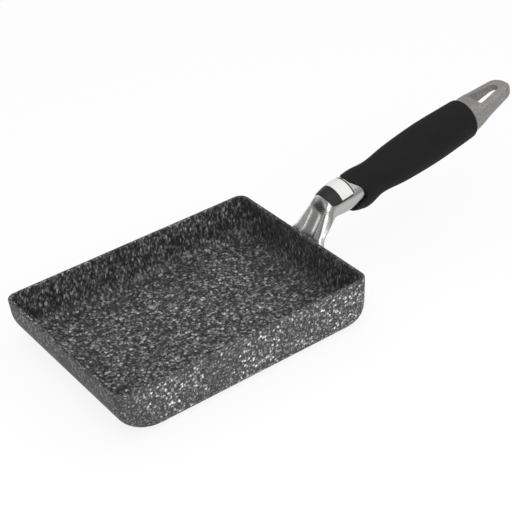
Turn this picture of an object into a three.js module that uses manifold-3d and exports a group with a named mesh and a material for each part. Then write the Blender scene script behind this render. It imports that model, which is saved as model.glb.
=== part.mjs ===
// Rectangular frying pan with a long soft grip on a polished metal neck.
// Millimetres, +Z up. The origin is the middle of the flat underside, +X runs
// along the handle, and the pan is mirror-symmetric about the plane y = 0.

import * as THREE from 'three';
import { LoftGeometry } from 'three/addons/geometries/LoftGeometry.js';
import { mergeVertices } from 'three/addons/utils/BufferGeometryUtils.js';
import Module from 'manifold-3d';

const wasm = await Module();
wasm.setup();

const { degToRad, lerp, smoothstep } = THREE.MathUtils;

// Tray, outside
const PAN_LENGTH = 186;
const PAN_WIDTH = 135;
const PAN_HEIGHT = 34;
const RIM_CORNER_RADIUS = 7;
const BASE_CORNER_RADIUS = 13.5;
const FRONT_DRAFT = degToRad(4);
const HANDLE_DRAFT = degToRad(1.5);
const SIDE_DRAFT = degToRad(0.5);
const FRONT_EDGE_RADIUS = 24;
const HANDLE_EDGE_RADIUS = 12.5;
const SIDE_EDGE_RADIUS = 7;

// Tray, inside
const WALL_THICKNESS = 2.5;
const BASE_THICKNESS = 3.5;
const FLOOR_FRONT_RADIUS = 22;
const FLOOR_HANDLE_RADIUS = 10;
const FLOOR_SIDE_RADIUS = 8;
const FLOOR_CORNER_RADIUS = 12;

// Corner radii grow from rim to base with this power of the depth
const CORNER_GROWTH = 4;

// Handle datum: a point on the grip's axis, from the rim at the handle wall
const HANDLE_SLOPE = degToRad(10);
const GRIP_REACH = 42.8;
const GRIP_RISE = 14.9;

// Grip sleeve: stations along the grip's axis from the datum, and radii there
const CHIN_FRONT = -7;
const CHIN_FRONT_RADIUS = 11.4;
const CHIN_STATION = -3.5;
const CHIN_RADIUS = 13;
const GUARD_STATION = 4.5;
const GUARD_RADIUS = 14.75;
const BROW_FRONT = -3.4;
const BROW_RADIUS = 13.2;
const WAIST_STATION = 18.5;
const WAIST_RADIUS = 12.4;
const SWELL_STATION = 38.6;
const SWELL_RADIUS = 14.4;
const BELLY_STATION = 66;
const BELLY_RADIUS = 15.5;
const GRIP_LENGTH = 102.4;
const TAIL_SETBACK = 10.8;
const TAIL_RADIUS = 14.9;
const GRIP_END_RADIUS = 14.4;
const GRIP_END_ROUND = 1.8;
const FRONT_LIP_ROUND = 1.2;

// Tongue of bare collar that runs into each side of the grip
const TONGUE_STATION = 1.9;
const TONGUE_UPPER_ANGLE = degToRad(65);
const TONGUE_LOWER_ANGLE = degToRad(84);
const CHIN_ANGLE = degToRad(124);

// Hard core inside the sleeve
const CORE_RADIUS = 10.4;

// Neck: foot behind the tray wall, waist, and round collar under the grip
const FOOT_DEPTH = 7;
const FOOT_DROP = 18;
const FOOT_HALF_WIDTH = 17.5;
const FOOT_HALF_HEIGHT = 8;
const FOOT_ANGLE = degToRad(39.7);
const FOOT_LEAD = 10.7;
const NECK_HALF_WIDTH = 10.2;
const NECK_HALF_HEIGHT = 8.1;
const WAIST_SHARE = 0.75;
const COLLAR_RADIUS = 10.3;
const COLLAR_LIFT = 1.5;
const COLLAR_START = -22.2;
const COLLAR_END = 3;
const COLLAR_LEAD = 6.3;
const SCOOP_DEPTH = 3.2;
const SCOOP_RIDGE = 2;
const TANG_RADIUS = 6.5;
const TANG_LENGTH = 14;

// Lug welded to the tray wall, inside the neck's root
const LUG_REACH = 5.2;
const LUG_DROP = 10.9;
const LUG_TOP_DROP = 5.5;
const LUG_FACE_LENGTH = 9;
const LUG_CROWN = 2.3;
const LUG_WIDTH = 14;

// Screws and washers
const SCREW_RADIUS = 2.5;
const SCREW_HEAD_RADIUS = 4.3;
const SCREW_HEAD_HEIGHT = 2.8;
const SCREW_RECESS_WIDTH = 1.2;
const SCREW_RECESS_LENGTH = 4.6;
const SCREW_RECESS_DEPTH = 1.4;
const WASHER_RADIUS = 4.3;
const WASHER_THICKNESS = 1.1;
const NECK_SCREW_TILT = degToRad(32);
const NECK_SCREW_SEAT = 2.1;
const NECK_SCREW_BITE = 4;
const TIE_SEAT_WALL = 4.6;
const TIE_SCREW_BITE = 10;

// End cap: half width, top and underside at stations from its front face
const CAP_START_RADIUS = 13.4;
const CAP_BROW_STATION = 6.3;
const CAP_BROW_HALF_WIDTH = 12.6;
const CAP_BROW_TOP = 10;
const CAP_BROW_UNDER = -8.2;
const CAP_HEEL_STATION = 13;
const CAP_HEEL_HALF_WIDTH = 11.8;
const CAP_HEEL_UNDER = -4.6;
const CAP_TOP = 8.2;
const CAP_TOE_HALF_WIDTH = 9.4;
const CAP_TOE_UNDER = -0.6;
const CAP_NOSE_LENGTH = 10;
const CAP_NOSE_ROUND = 2.4;
const CAP_SQUARENESS = 4;
const SPIGOT_RADIUS = 6;
const SPIGOT_LENGTH = 10;

// Hanging slot through the end cap, from the cap's front face
const SLOT_HEEL_STATION = 11.7;
const SLOT_LENGTH = 21.6;
const SLOT_TIP_LAND = 9;
const SLOT_HALF_WIDTH = 7.5;
const SLOT_CORNER_RADIUS = 1.6;
const SLOT_TIP_RADIUS = 3;
const SLOT_LIP_HEEL = -0.4;
const SLOT_LIP_TOE = 3.3;
const SLOT_FLARE = 7;

// Label wrapped over the top of the collar
const LABEL_START = -22;
const LABEL_LENGTH = 15.8;
const LABEL_HALF_ANGLE = degToRad(60);
const LABEL_THICKNESS = 0.3;

// Clearances
const FIT_GAP = 0.3;
const WELD_GAP = 0.1;
const LABEL_GAP = 0.15;

// Facet counts
const CORNER_STEPS = 8;
const EDGE_STEPS = 9;
const RING_STEPS = 40;
const NECK_STEPS = 14;
const SLEEVE_STEPS = 14;
const CAP_STEPS = 12;
const ROUND_STEPS = 4;
const TURNED_STEPS = 32;
const SLOT_ARC_STEPS = 8;

// A cutting body reaches this far past the face that it opens
const OVERCUT = 2;

// Solids and geometry

function toSolid(geometry) {
  const bare = new THREE.BufferGeometry().copy(geometry);
  bare.deleteAttribute('normal');
  bare.deleteAttribute('uv');
  const merged = mergeVertices(bare);
  const vertProperties = new Float32Array(merged.attributes.position.array);
  const triVerts = new Uint32Array(merged.index.array);
  return new wasm.Manifold(new wasm.Mesh({ numProp: 3, vertProperties, triVerts }));
}

function toGeometry(solid) {
  const mesh = solid.getMesh();
  const geometry = new THREE.BufferGeometry();
  geometry.setAttribute('position', new THREE.BufferAttribute(mesh.vertProperties, mesh.numProp));
  geometry.setIndex(new THREE.BufferAttribute(mesh.triVerts, 1));
  geometry.computeVertexNormals();
  return geometry;
}

function cut(geometry, ...cutters) {
  let solid = toSolid(geometry);
  for (const cutter of cutters) {
    solid = solid.subtract(toSolid(cutter));
  }
  return toGeometry(solid);
}

function fuse(geometry, other) {
  return toGeometry(toSolid(geometry).add(toSolid(other)));
}

// Turned body along +X from [station, radius] pairs that run from end to end
function turned(profile) {
  const points = profile.map(([station, radius]) => new THREE.Vector2(radius, station));
  const geometry = new THREE.LatheGeometry(points, TURNED_STEPS);
  geometry.rotateZ(-Math.PI / 2);
  return geometry;
}

function rod(start, end, radius) {
  return turned([[start, 0], [start, radius], [end, radius], [end, 0]]);
}

// Smooth curve through [station, value] knots
function smoothCurve(knots) {
  const stations = knots.map(([station]) => station);
  const values = knots.map(([, value]) => value);
  const interpolant = new THREE.CubicInterpolant(stations, values, 1, new Float32Array(1));
  return (station) => interpolant.evaluate(station)[0];
}

// Points of a rounded rectangle, counterclockwise
function roundedOutline(lowX, highX, halfWidth, radius) {
  const corners = [
    [highX - radius, halfWidth - radius],
    [lowX + radius, halfWidth - radius],
    [lowX + radius, radius - halfWidth],
    [highX - radius, radius - halfWidth],
  ];
  const points = [];
  corners.forEach(([x, y], quarter) => {
    for (let step = 0; step <= CORNER_STEPS; step++) {
      const angle = (quarter + step / CORNER_STEPS) * Math.PI / 2;
      points.push([x + radius * Math.cos(angle), y + radius * Math.sin(angle)]);
    }
  });
  return points;
}

// One point of a superellipse ring: [sideways, upwards]
function superPoint(halfWidth, halfHeight, squareness, angle) {
  const power = 2 / squareness;
  const reach = (wave) => Math.sign(wave) * Math.abs(wave) ** power;
  return [halfWidth * reach(Math.cos(angle)), halfHeight * reach(Math.sin(angle))];
}

function ringAngles() {
  return Array.from({ length: RING_STEPS }, (_, step) => step / RING_STEPS * 2 * Math.PI);
}

// Tray

// How far a quarter round at the foot of a wall has turned in at this depth
function edgeInset(depth, fullDepth, radius) {
  const below = Math.max(depth - (fullDepth - radius), 0);
  return radius - Math.sqrt(Math.max(radius ** 2 - below ** 2, 0));
}

const OUTSIDE = {
  inset: 0,
  depth: PAN_HEIGHT,
  frontRadius: FRONT_EDGE_RADIUS,
  handleRadius: HANDLE_EDGE_RADIUS,
  sideRadius: SIDE_EDGE_RADIUS,
  rimCorner: RIM_CORNER_RADIUS,
  lowCorner: BASE_CORNER_RADIUS,
};

const INSIDE = {
  inset: WALL_THICKNESS,
  depth: PAN_HEIGHT - BASE_THICKNESS,
  frontRadius: FLOOR_FRONT_RADIUS,
  handleRadius: FLOOR_HANDLE_RADIUS,
  sideRadius: FLOOR_SIDE_RADIUS,
  rimCorner: Math.max(RIM_CORNER_RADIUS - WALL_THICKNESS, WALL_THICKNESS / 2),
  lowCorner: FLOOR_CORNER_RADIUS,
};

// Outside of the tray with a fit gap, to trim the foot of the neck
const TRIM = { ...OUTSIDE, inset: -FIT_GAP };

function wallInset(depth, draft, form, radius) {
  return form.inset + depth * Math.tan(draft) + edgeInset(depth, form.depth, radius);
}

function trayOutline(depth, form) {
  const front = wallInset(depth, FRONT_DRAFT, form, form.frontRadius);
  const handle = wallInset(depth, HANDLE_DRAFT, form, form.handleRadius);
  const side = wallInset(depth, SIDE_DRAFT, form, form.sideRadius);
  const corner = lerp(form.rimCorner, form.lowCorner, (depth / form.depth) ** CORNER_GROWTH);
  const halfWidth = PAN_WIDTH / 2 - side;
  return roundedOutline(front - PAN_LENGTH / 2, PAN_LENGTH / 2 - handle, halfWidth, corner)
    .map(([x, y]) => new THREE.Vector3(x, y, PAN_HEIGHT - depth));
}

// Levels from the foot of the round edges up to the given height over the rim
function trayForm(form, rise) {
  const levels = [];
  for (let step = EDGE_STEPS; step >= 0; step--) {
    const turn = step / EDGE_STEPS * Math.PI / 2;
    levels.push(form.depth - form.frontRadius * (1 - Math.sin(turn)));
  }
  levels.push(-rise);
  const sections = levels.map((depth) => trayOutline(depth, form));
  return new LoftGeometry(sections, { capStart: true, capEnd: true });
}

function panBodyGeometry() {
  return cut(trayForm(OUTSIDE, 0), trayForm(INSIDE, OVERCUT));
}

// Outer face of the handle wall at a height above the base
function handleWallX(height) {
  const depth = PAN_HEIGHT - height;
  return PAN_LENGTH / 2 - wallInset(depth, HANDLE_DRAFT, OUTSIDE, HANDLE_EDGE_RADIUS);
}

// Frames: the handle's axis, and the axis of the screw under the neck

const handle = new THREE.Group();
handle.position.set(PAN_LENGTH / 2 + GRIP_REACH, 0, PAN_HEIGHT + GRIP_RISE);
handle.rotation.y = -HANDLE_SLOPE;
handle.updateMatrix();

const neckScrewHeight = PAN_HEIGHT - LUG_DROP;
const neckScrewAxis = new THREE.Group();
neckScrewAxis.position.set(handleWallX(neckScrewHeight) + LUG_REACH, 0, neckScrewHeight);
neckScrewAxis.rotation.y = NECK_SCREW_TILT;
neckScrewAxis.updateMatrix();

// Lug, grown by a margin when it is used to cut its pocket in the neck
function lugGeometry(margin, wallGap) {
  const face = neckScrewAxis.position;
  const run = new THREE.Vector2(Math.sin(NECK_SCREW_TILT), Math.cos(NECK_SCREW_TILT));
  const out = new THREE.Vector2(run.y, -run.x).multiplyScalar(margin);
  const half = LUG_FACE_LENGTH / 2 + margin;
  const low = new THREE.Vector2(face.x, face.z).addScaledVector(run, -half).add(out);
  const high = new THREE.Vector2(face.x, face.z).addScaledVector(run, half).add(out);
  const top = PAN_HEIGHT - LUG_TOP_DROP + margin;
  const shape = new THREE.Shape([
    new THREE.Vector2(handleWallX(low.y) + wallGap, low.y),
    low,
    high,
    new THREE.Vector2(high.x - LUG_CROWN, top),
    new THREE.Vector2(handleWallX(top) + wallGap, top),
  ]);
  const width = LUG_WIDTH + 2 * margin;
  const geometry = new THREE.ExtrudeGeometry(shape, { depth: width, bevelEnabled: false });
  geometry.translate(0, 0, -width / 2);
  geometry.rotateX(Math.PI / 2);
  return geometry;
}

function handleLugGeometry() {
  const thread = rod(-NECK_SCREW_BITE - FIT_GAP, OVERCUT, SCREW_RADIUS + FIT_GAP);
  return cut(lugGeometry(0, WELD_GAP), thread.applyMatrix4(neckScrewAxis.matrix));
}

// Neck

function neckSpine() {
  const foot = new THREE.Vector2(PAN_LENGTH / 2 - FOOT_DEPTH, PAN_HEIGHT - FOOT_DROP);
  const collar3 = new THREE.Vector3(COLLAR_START, 0, COLLAR_LIFT).applyMatrix4(handle.matrix);
  const collar = new THREE.Vector2(collar3.x, collar3.z);
  const footLead = new THREE.Vector2(Math.cos(FOOT_ANGLE), Math.sin(FOOT_ANGLE));
  const collarLead = new THREE.Vector2(Math.cos(HANDLE_SLOPE), Math.sin(HANDLE_SLOPE));
  return new THREE.CubicBezierCurve(
    foot,
    foot.clone().addScaledVector(footLead, FOOT_LEAD),
    collar.clone().addScaledVector(collarLead, -COLLAR_LEAD),
    collar,
  );
}

// Ring of the neck at a share of its spine, scooped along the top
function neckRing(spine, share) {
  const centre = spine.getPoint(share);
  const heading = spine.getTangent(share);
  const narrow = smoothstep(share, 0, WAIST_SHARE);
  const widen = smoothstep(share, WAIST_SHARE, 1);
  const halfWidth = lerp(lerp(FOOT_HALF_WIDTH, NECK_HALF_WIDTH, narrow), COLLAR_RADIUS, widen);
  const halfHeight = lerp(lerp(FOOT_HALF_HEIGHT, NECK_HALF_HEIGHT, narrow), COLLAR_RADIUS, widen);
  const scoop = SCOOP_DEPTH * Math.sin(Math.PI * share) ** 2;
  const scoopHalf = halfWidth - SCOOP_RIDGE;
  return ringAngles().map((angle) => {
    let [side, up] = superPoint(halfWidth, halfHeight, 2, angle);
    if (up > 0 && Math.abs(side) < scoopHalf) {
      up -= scoop * Math.cos(side / scoopHalf * Math.PI / 2) ** 2;
    }
    return new THREE.Vector3(centre.x - up * heading.y, side, centre.y + up * heading.x);
  });
}

function collarRing(station) {
  return ringAngles().map((angle) => {
    const [side, up] = superPoint(COLLAR_RADIUS, COLLAR_RADIUS, 2, angle);
    return new THREE.Vector3(station, side, up + COLLAR_LIFT).applyMatrix4(handle.matrix);
  });
}

function neckGeometry() {
  const spine = neckSpine();
  const sections = [];
  for (let step = 0; step < NECK_STEPS; step++) {
    sections.push(neckRing(spine, step / NECK_STEPS));
  }
  sections.push(collarRing(COLLAR_START), collarRing(COLLAR_END));
  const casting = new LoftGeometry(sections, { capStart: true, capEnd: true });
  const tang = rod(COLLAR_END - OVERCUT, COLLAR_END + TANG_LENGTH, TANG_RADIUS);
  const tangEnd = COLLAR_END + TANG_LENGTH;
  const tieThread = rod(tangEnd - TIE_SCREW_BITE - FIT_GAP, tangEnd + OVERCUT, SCREW_RADIUS + FIT_GAP);
  const screwHole = rod(-OVERCUT, NECK_SCREW_SEAT + OVERCUT, SCREW_RADIUS + FIT_GAP);
  const counterbore = rod(NECK_SCREW_SEAT, NECK_SCREW_SEAT + FOOT_HALF_HEIGHT, SCREW_HEAD_RADIUS + FIT_GAP);
  return cut(
    fuse(casting, tang.applyMatrix4(handle.matrix)),
    trayForm(TRIM, PAN_HEIGHT),
    lugGeometry(FIT_GAP, -OVERCUT),
    tieThread.applyMatrix4(handle.matrix),
    screwHole.applyMatrix4(neckScrewAxis.matrix),
    counterbore.applyMatrix4(neckScrewAxis.matrix),
  );
}

// Screws and washers, along +X with the head's seat at station 0

function washerGeometry() {
  const bore = SCREW_RADIUS + FIT_GAP;
  return turned([
    [0, bore],
    [0, WASHER_RADIUS],
    [WASHER_THICKNESS, WASHER_RADIUS],
    [WASHER_THICKNESS, bore],
    [0, bore],
  ]);
}

function screwGeometry(length) {
  const headEnd = SCREW_HEAD_HEIGHT;
  const crown = SCREW_HEAD_RADIUS - SCREW_HEAD_HEIGHT / 2;
  const body = turned([
    [-length, 0],
    [-length, SCREW_RADIUS],
    [0, SCREW_RADIUS],
    [0, SCREW_HEAD_RADIUS],
    [headEnd / 2, SCREW_HEAD_RADIUS],
    [headEnd, crown],
    [headEnd, 0],
  ]);
  const slots = [
    new THREE.BoxGeometry(SCREW_RECESS_DEPTH * 2, SCREW_RECESS_LENGTH, SCREW_RECESS_WIDTH),
    new THREE.BoxGeometry(SCREW_RECESS_DEPTH * 2, SCREW_RECESS_WIDTH, SCREW_RECESS_LENGTH),
  ];
  return cut(body, ...slots.map((slot) => slot.translate(headEnd, 0, 0)));
}

// Grip

const gripUnder = smoothCurve([
  [CHIN_FRONT, CHIN_FRONT_RADIUS],
  [CHIN_STATION, CHIN_RADIUS],
  [GUARD_STATION, GUARD_RADIUS],
  [WAIST_STATION, WAIST_RADIUS],
  [SWELL_STATION, SWELL_RADIUS],
  [BELLY_STATION, BELLY_RADIUS],
  [GRIP_LENGTH - TAIL_SETBACK, TAIL_RADIUS],
  [GRIP_LENGTH, GRIP_END_RADIUS],
]);

const gripOver = smoothCurve([
  [CHIN_FRONT, BROW_RADIUS],
  [GUARD_STATION, BROW_RADIUS],
  [WAIST_STATION, WAIST_RADIUS],
  [SWELL_STATION, SWELL_RADIUS],
  [BELLY_STATION, BELLY_RADIUS],
  [GRIP_LENGTH - TAIL_SETBACK, TAIL_RADIUS],
  [GRIP_LENGTH, GRIP_END_RADIUS],
]);

function gripRadius(station, angle) {
  return lerp(gripUnder(station), gripOver(station), (1 + Math.sin(angle)) / 2);
}

// Front edge of the sleeve: over the collar, back round a tongue, under a chin
function gripFront(angle) {
  const fromTop = Math.acos(Math.sin(angle));
  const toTongue = smoothstep(fromTop, 0, TONGUE_UPPER_ANGLE);
  const toChin = smoothstep(fromTop, TONGUE_LOWER_ANGLE, CHIN_ANGLE);
  return lerp(lerp(BROW_FRONT, TONGUE_STATION, toTongue), CHIN_FRONT, toChin);
}

// Bore round the collar, seen from the grip's own axis
function collarBore(angle) {
  const radius = COLLAR_RADIUS + FIT_GAP;
  const sideways = COLLAR_LIFT * Math.cos(angle);
  return COLLAR_LIFT * Math.sin(angle) + Math.sqrt(radius ** 2 - sideways ** 2);
}

function sleeveRing(stationAt, radiusAt) {
  return ringAngles().map((angle) => {
    const station = stationAt(angle);
    const radius = radiusAt(angle, station);
    return new THREE.Vector3(station, radius * Math.cos(angle), radius * Math.sin(angle));
  });
}

function gripSleeveGeometry() {
  const outside = (angle, station) => gripRadius(station, angle);
  const coreBore = () => CORE_RADIUS + FIT_GAP;
  const collarSeat = COLLAR_END + FIT_GAP / 2;
  const sections = [];
  for (let step = 0; step <= ROUND_STEPS; step++) {
    const turn = step / ROUND_STEPS * Math.PI / 2;
    const setBack = FRONT_LIP_ROUND * (1 - Math.sin(turn));
    sections.push(sleeveRing(
      (angle) => gripFront(angle) + setBack * (step / ROUND_STEPS),
      (angle, station) => lerp(collarBore(angle), gripRadius(station, angle), Math.sin(turn)),
    ));
  }
  for (let step = 1; step <= SLEEVE_STEPS; step++) {
    const share = step / SLEEVE_STEPS;
    const last = GRIP_LENGTH - GRIP_END_ROUND;
    sections.push(sleeveRing((angle) => lerp(gripFront(angle), last, share), outside));
  }
  for (let step = 1; step <= ROUND_STEPS; step++) {
    const turn = step / ROUND_STEPS * Math.PI / 2;
    const station = GRIP_LENGTH - GRIP_END_ROUND * (1 - Math.sin(turn));
    const inset = GRIP_END_ROUND * (1 - Math.cos(turn));
    sections.push(sleeveRing(() => station, (angle) => gripRadius(station, angle) - inset));
  }
  sections.push(sleeveRing(() => GRIP_LENGTH, coreBore));
  sections.push(sleeveRing(() => collarSeat, coreBore));
  sections.push(sleeveRing(() => collarSeat, collarBore));
  sections.push(sections[0]);
  return new LoftGeometry(sections);
}

function gripCoreGeometry() {
  const front = COLLAR_END + FIT_GAP;
  const tangSocket = COLLAR_END + TANG_LENGTH + FIT_GAP;
  const spigotSocket = GRIP_LENGTH + FIT_GAP - SPIGOT_LENGTH - FIT_GAP;
  const bore = SCREW_RADIUS + FIT_GAP;
  return turned([
    [front, TANG_RADIUS + FIT_GAP],
    [front, CORE_RADIUS],
    [GRIP_LENGTH, CORE_RADIUS],
    [GRIP_LENGTH, SPIGOT_RADIUS + FIT_GAP],
    [spigotSocket, SPIGOT_RADIUS + FIT_GAP],
    [spigotSocket, bore],
    [tangSocket, bore],
    [tangSocket, TANG_RADIUS + FIT_GAP],
    [front, TANG_RADIUS + FIT_GAP],
  ]);
}

// End cap

const capStart = GRIP_LENGTH + FIT_GAP;
const capBrow = capStart + CAP_BROW_STATION;
const capHeel = capStart + CAP_HEEL_STATION;
const slotStart = capStart + SLOT_HEEL_STATION;
const slotEnd = slotStart + SLOT_LENGTH;
const capTip = slotEnd + SLOT_TIP_LAND;
const capToe = capTip - CAP_NOSE_LENGTH;
const tieSeat = capStart + TIE_SEAT_WALL;

const capHalfWidth = smoothCurve([
  [capStart, CAP_START_RADIUS],
  [capBrow, CAP_BROW_HALF_WIDTH],
  [capHeel, CAP_HEEL_HALF_WIDTH],
  [capToe, CAP_TOE_HALF_WIDTH],
]);

const capOver = smoothCurve([
  [capStart, CAP_START_RADIUS],
  [capBrow, CAP_BROW_TOP],
  [capHeel, CAP_TOP],
  [capToe, CAP_TOP],
]);

const capUnder = smoothCurve([
  [capStart, -CAP_START_RADIUS],
  [capBrow, CAP_BROW_UNDER],
  [capHeel, CAP_HEEL_UNDER],
  [capToe, CAP_TOE_UNDER],
]);

// Straight run of the underside, carried on past the toe
function underLine(station) {
  const slope = (CAP_TOE_UNDER - CAP_HEEL_UNDER) / (capToe - capHeel);
  return CAP_TOE_UNDER + slope * (station - capToe);
}

function capRing(station, halfWidth, over, under, squareness) {
  const middle = (over + under) / 2;
  return ringAngles().map((angle) => {
    const [side, up] = superPoint(halfWidth, (over - under) / 2, squareness, angle);
    return new THREE.Vector3(station, side, middle + up);
  });
}

function capSections() {
  const sections = [];
  for (let step = 0; step <= CAP_STEPS; step++) {
    const station = lerp(capStart, capToe, step / CAP_STEPS);
    const squareness = lerp(2, CAP_SQUARENESS, smoothstep(station, capStart, capHeel));
    sections.push(capRing(
      station,
      capHalfWidth(station),
      capOver(station),
      capUnder(station),
      squareness,
    ));
  }
  for (let step = 1; step <= ROUND_STEPS * 2; step++) {
    const turn = step / (ROUND_STEPS * 2 + 1) * Math.PI / 2;
    const station = capToe + CAP_NOSE_LENGTH * Math.sin(turn);
    const pinch = CAP_NOSE_ROUND * (1 - Math.cos(turn));
    sections.push(capRing(
      station,
      CAP_TOE_HALF_WIDTH * Math.cos(turn),
      CAP_TOP - pinch,
      underLine(station) + pinch,
      CAP_SQUARENESS,
    ));
  }
  return sections;
}

// Outline of the slot as [station, sideways] pairs, grown except at its heel
function slotOutline(grow) {
  const tip = new THREE.Vector2(slotEnd - SLOT_TIP_RADIUS, 0);
  const corner = new THREE.Vector2(
    slotStart + SLOT_CORNER_RADIUS + grow,
    SLOT_HALF_WIDTH - SLOT_CORNER_RADIUS,
  );
  const along = corner.clone().sub(tip);
  const lean = Math.acos((SLOT_TIP_RADIUS - SLOT_CORNER_RADIUS) / along.length());
  const side = along.angle() - lean;
  const arcs = [
    [tip.x, tip.y, SLOT_TIP_RADIUS, -side, side],
    [corner.x, corner.y, SLOT_CORNER_RADIUS, side, Math.PI],
    [corner.x, -corner.y, SLOT_CORNER_RADIUS, Math.PI, 2 * Math.PI - side],
  ];
  return arcs.flatMap(([x, y, radius, from, to]) => {
    const points = [];
    for (let step = 0; step <= SLOT_ARC_STEPS; step++) {
      const angle = lerp(from, to, step / SLOT_ARC_STEPS);
      points.push([x + (radius + grow) * Math.cos(angle), y + (radius + grow) * Math.sin(angle)]);
    }
    return points;
  });
}

// Straight slot with a mouth that flares out below its lower lip
function slotGeometries() {
  const lip = (station) => {
    return lerp(SLOT_LIP_HEEL, SLOT_LIP_TOE, (station - slotStart) / SLOT_LENGTH);
  };
  const level = (grow, heightAt) => slotOutline(grow)
    .map(([station, side]) => new THREE.Vector3(station, side, heightAt(station)));
  const below = -CAP_START_RADIUS;
  const above = CAP_START_RADIUS;
  const straight = [level(0, () => below), level(0, () => above)];
  const flare = [level(SLOT_FLARE, (station) => lip(station) - SLOT_FLARE), level(0, lip)];
  return [straight, flare].map((sections) => (
    new LoftGeometry(sections, { capStart: true, capEnd: true })
  ));
}

function endCapGeometry() {
  const casting = new LoftGeometry(capSections(), { capStart: true, capEnd: true });
  const spigot = rod(capStart - SPIGOT_LENGTH, capStart + OVERCUT, SPIGOT_RADIUS);
  const through = rod(capStart - SPIGOT_LENGTH - OVERCUT, tieSeat + OVERCUT, SCREW_RADIUS + FIT_GAP);
  const counterbore = rod(tieSeat, slotStart + OVERCUT, SCREW_HEAD_RADIUS + FIT_GAP);
  return cut(fuse(casting, spigot), through, counterbore, ...slotGeometries());
}

// Label: a thin curved strip, drawn in section and drawn out along the collar
function labelGeometry() {
  const inner = COLLAR_RADIUS + LABEL_GAP;
  const middle = Math.PI / 2;
  const shape = new THREE.Shape();
  shape.absarc(0, 0, inner + LABEL_THICKNESS, middle - LABEL_HALF_ANGLE, middle + LABEL_HALF_ANGLE, false);
  shape.absarc(0, 0, inner, middle + LABEL_HALF_ANGLE, middle - LABEL_HALF_ANGLE, true);
  const geometry = new THREE.ExtrudeGeometry(shape, {
    depth: LABEL_LENGTH,
    curveSegments: SLOT_ARC_STEPS * 2,
    bevelEnabled: false,
  });
  geometry.rotateX(Math.PI / 2);
  geometry.rotateZ(Math.PI / 2);
  geometry.translate(LABEL_START, 0, COLLAR_LIFT);
  return geometry;
}

// Assembly

function piece(parent, name, geometry, color, roughness, metalness) {
  const mesh = new THREE.Mesh(geometry, new THREE.MeshStandardMaterial({ color, roughness, metalness }));
  mesh.name = name;
  parent.add(mesh);
  return mesh;
}

const STONE_COATING = 0x4a4a4a;
const BARE_ALUMINIUM = 0xb9bab8;
const POLISHED_METAL = 0xc9c9c6;
const SATIN_METAL = 0x96938f;
const ZINC_PLATE = 0xa4a7aa;
const HARD_BLACK = 0x1b1b1b;
const SOFT_BLACK = 0x232323;
const LABEL_FOIL = 0x2a2826;

const fryingPan = new THREE.Group();
fryingPan.add(handle, neckScrewAxis);

piece(fryingPan, 'pan_body', panBodyGeometry(), STONE_COATING, 0.55, 0.1);
piece(fryingPan, 'handle_lug', handleLugGeometry(), BARE_ALUMINIUM, 0.5, 1);
piece(fryingPan, 'neck', neckGeometry(), POLISHED_METAL, 0.2, 1);

const neckWasher = piece(neckScrewAxis, 'neck_washer', washerGeometry(), ZINC_PLATE, 0.4, 1);
neckWasher.position.x = NECK_SCREW_SEAT + FIT_GAP / 2;
const neckHeadSeat = neckWasher.position.x + WASHER_THICKNESS + FIT_GAP / 2;
const neckScrewLength = neckHeadSeat + NECK_SCREW_BITE;
const neckScrew = piece(neckScrewAxis, 'neck_screw', screwGeometry(neckScrewLength), ZINC_PLATE, 0.4, 1);
neckScrew.position.x = neckHeadSeat;

piece(handle, 'grip_core', gripCoreGeometry(), HARD_BLACK, 0.5, 0);
piece(handle, 'grip_sleeve', gripSleeveGeometry(), SOFT_BLACK, 0.75, 0);
piece(handle, 'end_cap', endCapGeometry(), SATIN_METAL, 0.4, 1);
piece(handle, 'label', labelGeometry(), LABEL_FOIL, 0.5, 0);

const tieWasher = piece(handle, 'tie_washer', washerGeometry(), ZINC_PLATE, 0.4, 1);
tieWasher.position.x = tieSeat + FIT_GAP / 2;
const tieHeadSeat = tieWasher.position.x + WASHER_THICKNESS + FIT_GAP / 2;
const tieScrewTip = COLLAR_END + TANG_LENGTH - TIE_SCREW_BITE;
const tieScrew = piece(handle, 'tie_screw', screwGeometry(tieHeadSeat - tieScrewTip), ZINC_PLATE, 0.4, 1);
tieScrew.position.x = tieHeadSeat;

export default fryingPan;
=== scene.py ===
"""Rectangular frying pan: coated tray, scooped metal neck, soft grip, slotted end cap.

Metres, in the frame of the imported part: the origin is on the underside below the
middle of the tray, +X runs along the handle and +Z is up. The sizes at the top
are written in millimetres and turned into metres where a mesh is made.
"""

import math

import bmesh
import bpy
from mathutils import Matrix, Vector


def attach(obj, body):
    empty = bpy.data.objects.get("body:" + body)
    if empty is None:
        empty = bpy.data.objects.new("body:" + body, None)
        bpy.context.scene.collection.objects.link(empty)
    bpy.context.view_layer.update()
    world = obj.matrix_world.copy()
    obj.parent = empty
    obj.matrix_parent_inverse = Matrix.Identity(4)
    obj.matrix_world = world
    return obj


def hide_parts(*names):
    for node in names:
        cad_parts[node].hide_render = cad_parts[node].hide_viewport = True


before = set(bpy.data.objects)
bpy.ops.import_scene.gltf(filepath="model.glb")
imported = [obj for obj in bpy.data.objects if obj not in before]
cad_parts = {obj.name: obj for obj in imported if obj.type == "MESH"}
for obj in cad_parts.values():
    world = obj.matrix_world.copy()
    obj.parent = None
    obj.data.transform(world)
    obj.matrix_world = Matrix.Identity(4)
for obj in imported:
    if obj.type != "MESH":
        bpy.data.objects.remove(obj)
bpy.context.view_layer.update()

MM = 0.001

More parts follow.
